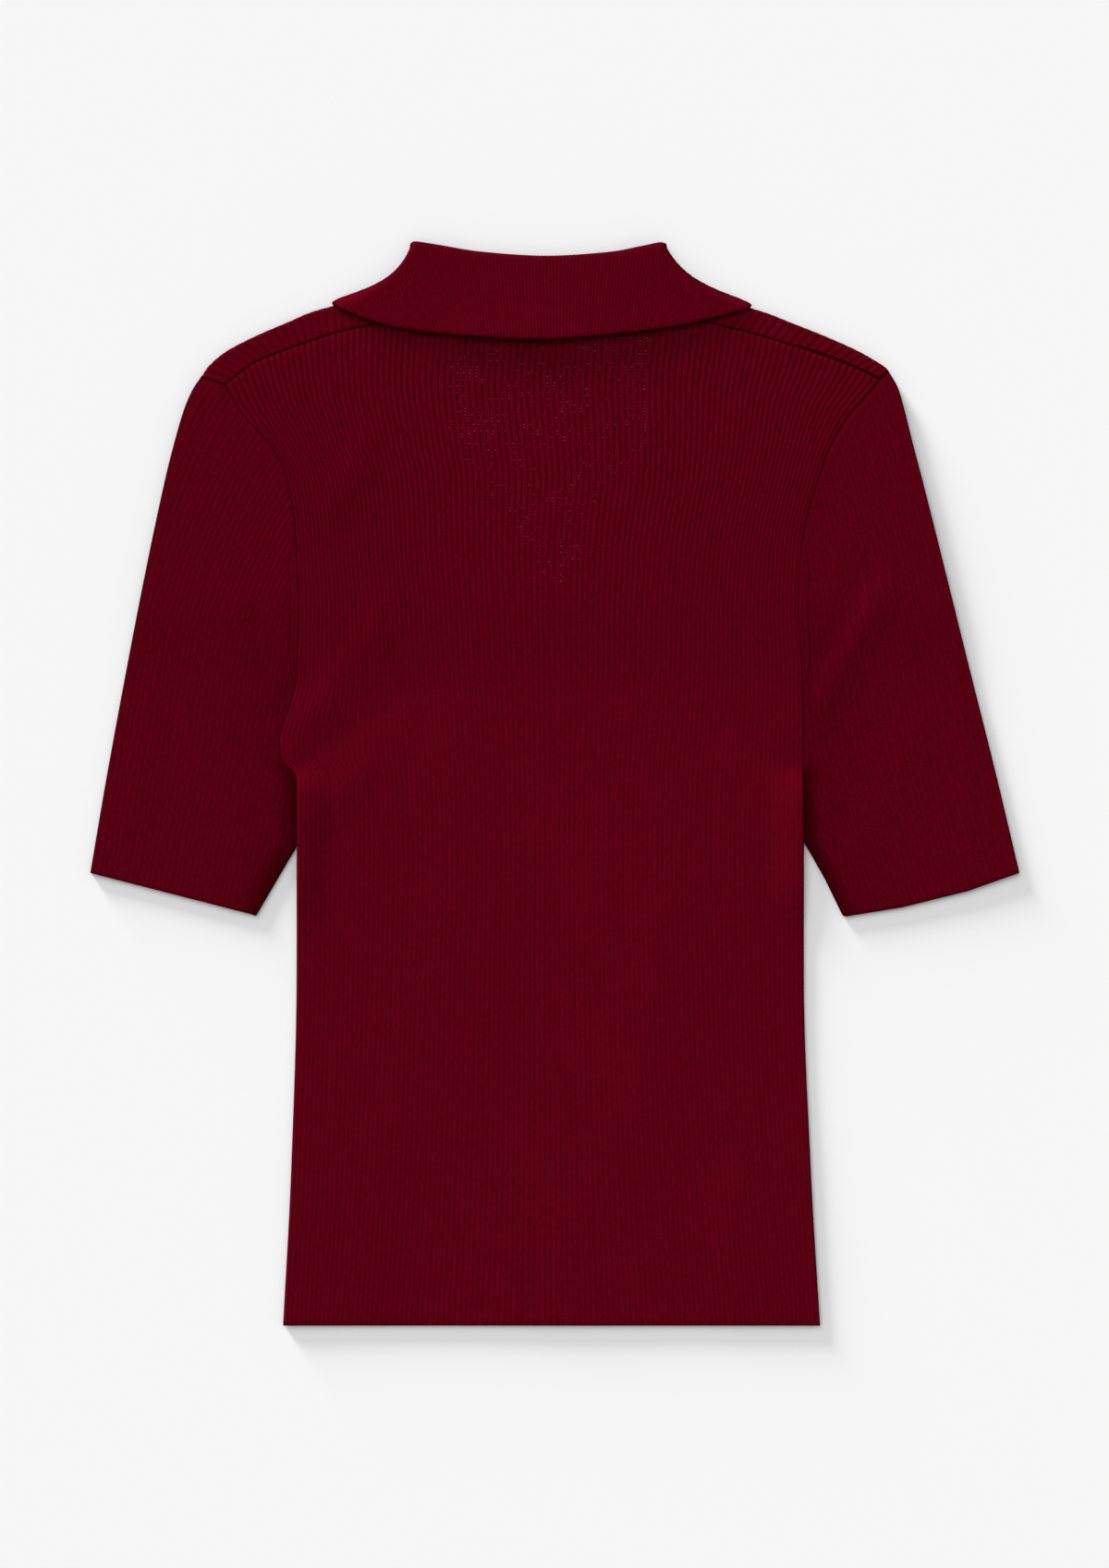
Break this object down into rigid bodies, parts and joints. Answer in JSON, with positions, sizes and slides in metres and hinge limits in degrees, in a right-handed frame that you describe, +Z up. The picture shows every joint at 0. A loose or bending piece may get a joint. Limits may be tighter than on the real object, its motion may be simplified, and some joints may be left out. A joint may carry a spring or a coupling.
{
  "type": "v-neck top",
  "caption": "Fine rib-knit top with a V neck, a folded rib collar and short sleeves, laid flat with its back up.",
  "frame": {"origin": "middle of the laid garment's outline, on the surface that it lies on", "axes": "+Y from the hem towards the neck, +Z up out of the surface, +X towards the sleeve on the right of the picture"},
  "size_m": [0.5234, 0.6103, 0.0095],
  "materials": {
    "body_knit": "matte fine rib knit, dark red",
    "collar_knit": "matte fine 1x1 rib knit, dark red"
  },
  "bodies": {
    "root": {"front_panel": "body_knit", "back_panel": "body_knit", "left_sleeve": "body_knit", "right_sleeve": "body_knit", "collar": "collar_knit"}
  },
  "joints": []
}
